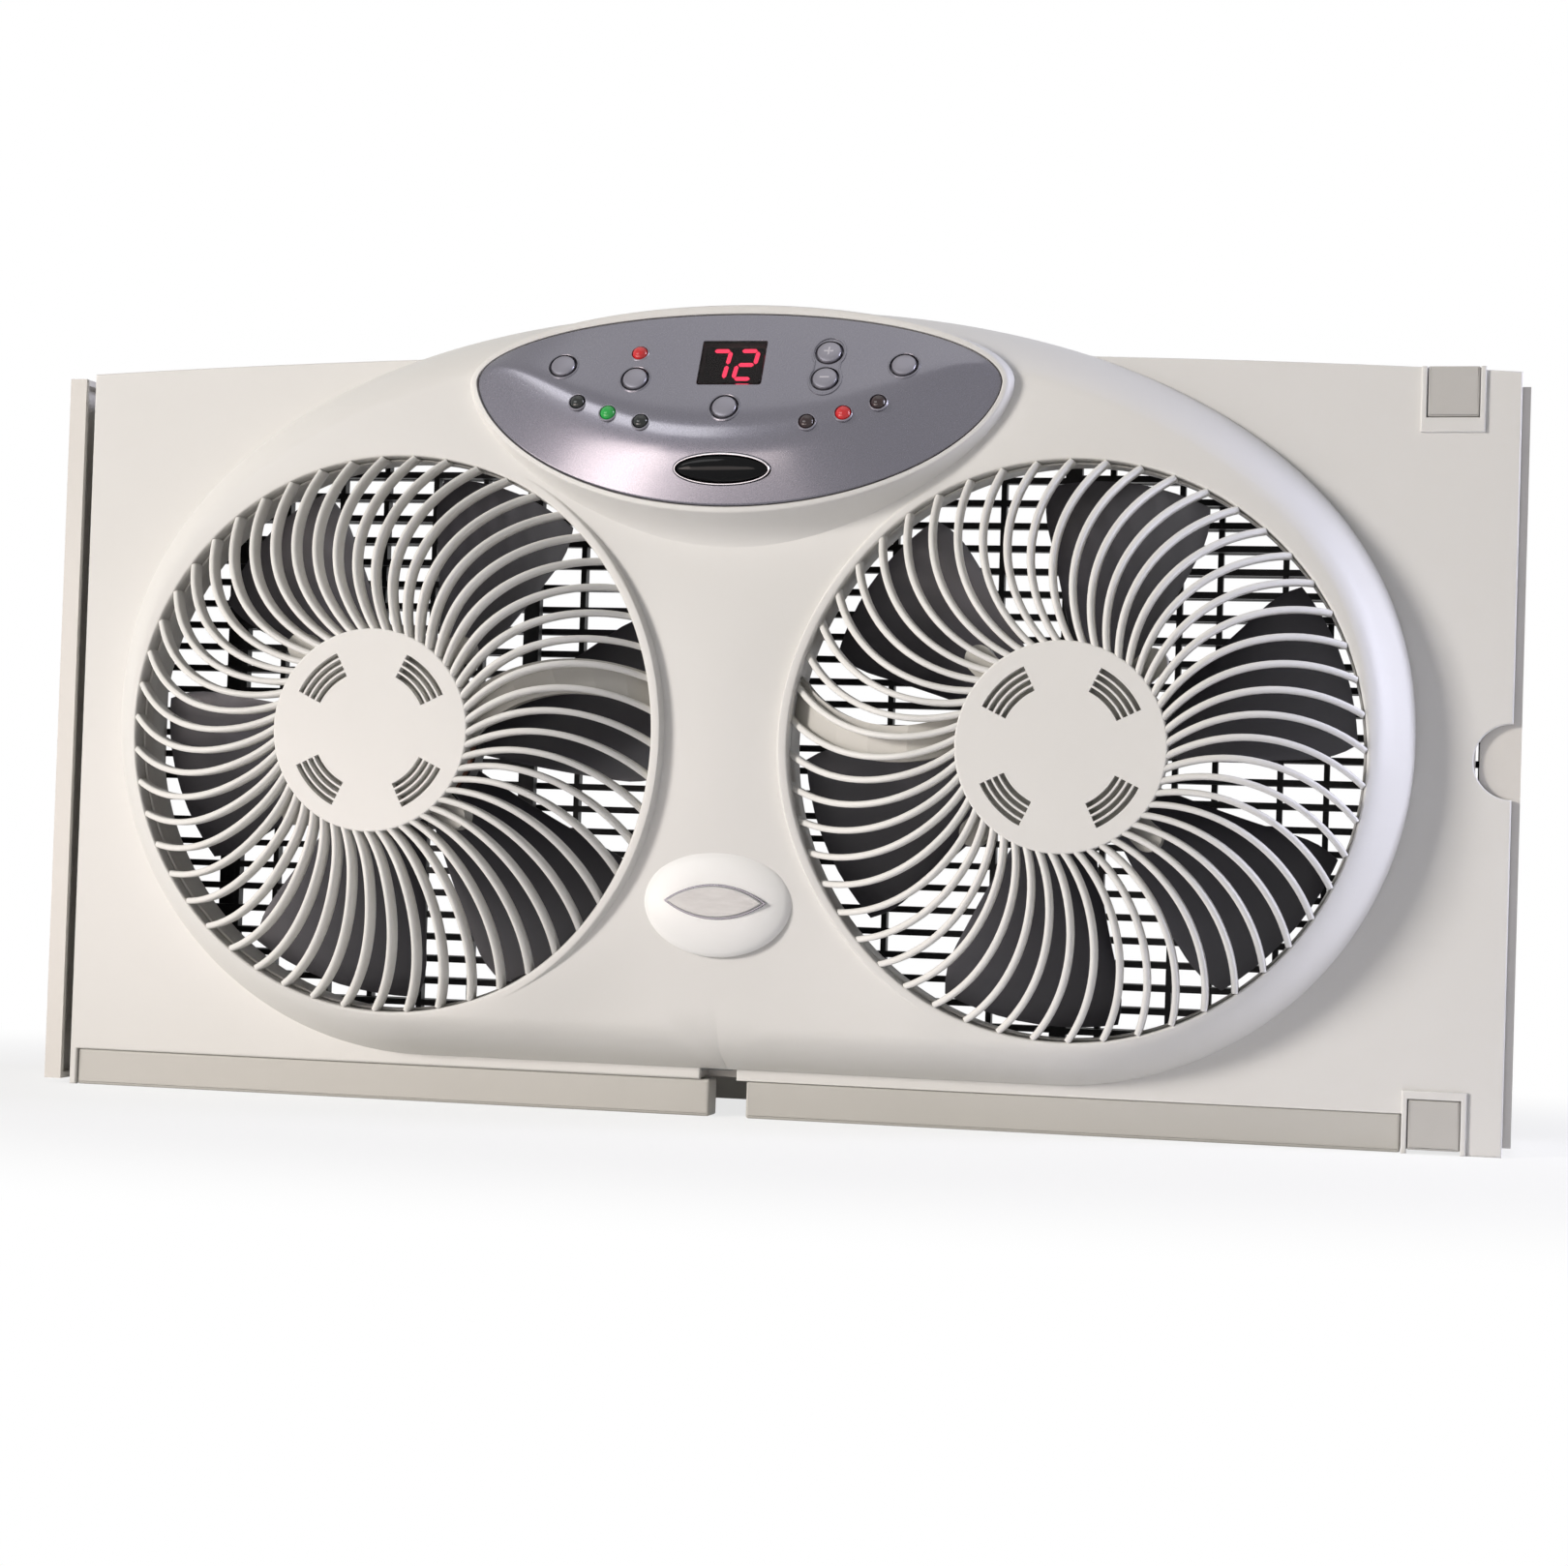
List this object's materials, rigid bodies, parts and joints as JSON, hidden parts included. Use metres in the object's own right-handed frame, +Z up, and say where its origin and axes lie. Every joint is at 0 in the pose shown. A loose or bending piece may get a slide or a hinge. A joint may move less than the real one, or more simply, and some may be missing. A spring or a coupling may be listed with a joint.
{
  "type": "window fan",
  "caption": "Twin reversible window fan with curved-bar grilles, lens-shaped electronic control panel, slide-out side screens and latches.",
  "frame": {"origin": "middle of the bounding box's base, under the closed fan, at the height of the window sill", "axes": "+X to the right seen from the room, -Y towards the room and the viewer, +Z up"},
  "size_m": [0.6066, 0.1454, 0.3275],
  "materials": {
    "housing_plastic": "satin warm off-white",
    "silver_paint": "metallic silver paint",
    "button_plastic": "satin silver",
    "black_plastic": "satin black",
    "blade_plastic": "satin charcoal",
    "motor_paint": "black enamel",
    "core_steel": "varnished laminations",
    "shaft_steel": "ground",
    "screw_steel": "zinc plated",
    "bearing_bronze": "oiled bronze",
    "board_green": "solder mask",
    "part_black": "moulded",
    "capacitor_blue": "sleeved",
    "coil_yellow": "taped coil",
    "smoked_window": "smoked clear",
    "display_red": "lit red",
    "remote_black": "black polished",
    "lamp_dark": "unlit lamp",
    "lamp_green": "lit green lamp",
    "lamp_red": "lit red lamp",
    "badge_silver": "brushed bright",
    "pad_rubber": "matte"
  },
  "bodies": {
    "housing": {"front_housing": "housing_plastic", "left_foot_rail": "housing_plastic", "right_foot_rail": "housing_plastic", "foot_pads": "pad_rubber", "left_grille": "housing_plastic", "right_grille": "housing_plastic", "left_motor_mount": "housing_plastic", "right_motor_mount": "housing_plastic", "left_front_bell": "motor_paint", "right_front_bell": "motor_paint", "left_stator": "core_steel", "right_stator": "core_steel", "left_rear_bell": "motor_paint", "right_rear_bell": "motor_paint", "left_bearings": "bearing_bronze", "right_bearings": "bearing_bronze", "motor_screws": "screw_steel", "mount_screws": "screw_steel", "motor_leads": "part_black", "control_panel": "silver_paint", "display_window": "smoked_window", "digit_display": "display_red", "remote_window": "remote_black", "remote_receiver": "part_black", "dark_lamps": "lamp_dark", "green_lamp": "lamp_green", "red_lamps": "lamp_red", "control_board": "board_green", "button_switches": "part_black", "power_board": "board_green", "capacitors": "capacitor_blue", "transformer": "coil_yellow", "thermistor": "part_black", "badge": "housing_plastic", "badge_lens": "badge_silver", "rear_housing": "housing_plastic", "rear_grille": "black_plastic", "housing_screws": "screw_steel", "cord_gland": "pad_rubber"},
    "left_fan": {"left_impeller": "blade_plastic", "left_impeller_nut": "blade_plastic", "left_shaft": "shaft_steel", "left_rotor": "shaft_steel"},
    "right_fan": {"right_impeller": "blade_plastic", "right_impeller_nut": "blade_plastic", "right_shaft": "shaft_steel", "right_rotor": "shaft_steel"},
    "timer_button": {"timer_button": "button_plastic"},
    "mode_button": {"mode_button": "button_plastic"},
    "light_button": {"light_button": "button_plastic"},
    "plus_button": {"plus_button": "button_plastic"},
    "minus_button": {"minus_button": "button_plastic"},
    "speed_button": {"speed_button": "button_plastic"},
    "left_extender": {"left_end_bar": "housing_plastic", "left_screen": "black_plastic"},
    "right_extender": {"right_end_bar": "housing_plastic", "right_screen": "black_plastic"},
    "upper_latch": {"upper_latch": "housing_plastic"},
    "lower_latch": {"lower_latch": "housing_plastic"}
  },
  "joints": [
    {"name": "left_fan_spin", "type": "hinge", "parent": "housing", "child": "left_fan", "pos_m": [-0.14275, -0.01735, 0.151], "axis": [0, 1, 0], "continuous": true},
    {"name": "right_fan_spin", "type": "hinge", "parent": "housing", "child": "right_fan", "pos_m": [0.13275, -0.01735, 0.151], "axis": [0, 1, 0], "continuous": true},
    {"name": "left_extender_slide", "type": "slide", "parent": "housing", "child": "left_extender", "axis": [-1, 0, 0], "range_m": [-0.003, 0.165]},
    {"name": "right_extender_slide", "type": "slide", "parent": "housing", "child": "right_extender", "axis": [1, 0, 0], "range_m": [0, 0.165]},
    {"name": "timer_button_press", "type": "slide", "parent": "housing", "child": "timer_button", "axis": [0.0024, 0.8583, -0.5132], "range_m": [0, 0.0008], "stiffness_N_per_m": 400, "springref_m": -0.0005},
    {"name": "mode_button_press", "type": "slide", "parent": "housing", "child": "mode_button", "axis": [0, 0.8785, -0.4777], "range_m": [0, 0.0008], "stiffness_N_per_m": 400, "springref_m": -0.0005},
    {"name": "light_button_press", "type": "slide", "parent": "housing", "child": "light_button", "axis": [0, 0.8785, -0.4777], "range_m": [0, 0.0008], "stiffness_N_per_m": 400, "springref_m": -0.0005},
    {"name": "plus_button_press", "type": "slide", "parent": "housing", "child": "plus_button", "axis": [0, 0.8785, -0.4777], "range_m": [0, 0.0008], "stiffness_N_per_m": 400, "springref_m": -0.0005},
    {"name": "minus_button_press", "type": "slide", "parent": "housing", "child": "minus_button", "axis": [0, 0.8785, -0.4777], "range_m": [0, 0.0008], "stiffness_N_per_m": 400, "springref_m": -0.0005},
    {"name": "speed_button_press", "type": "slide", "parent": "housing", "child": "speed_button", "axis": [-0.0024, 0.8583, -0.5132], "range_m": [0, 0.0008], "stiffness_N_per_m": 400, "springref_m": -0.0005},
    {"name": "upper_latch_press", "type": "slide", "parent": "housing", "child": "upper_latch", "axis": [0, 1, 0], "range_m": [0, 0.0015], "stiffness_N_per_m": 800, "springref_m": -0.0008},
    {"name": "lower_latch_press", "type": "slide", "parent": "housing", "child": "lower_latch", "axis": [0, 1, 0], "range_m": [0, 0.0015], "stiffness_N_per_m": 800, "springref_m": -0.0008}
  ]
}
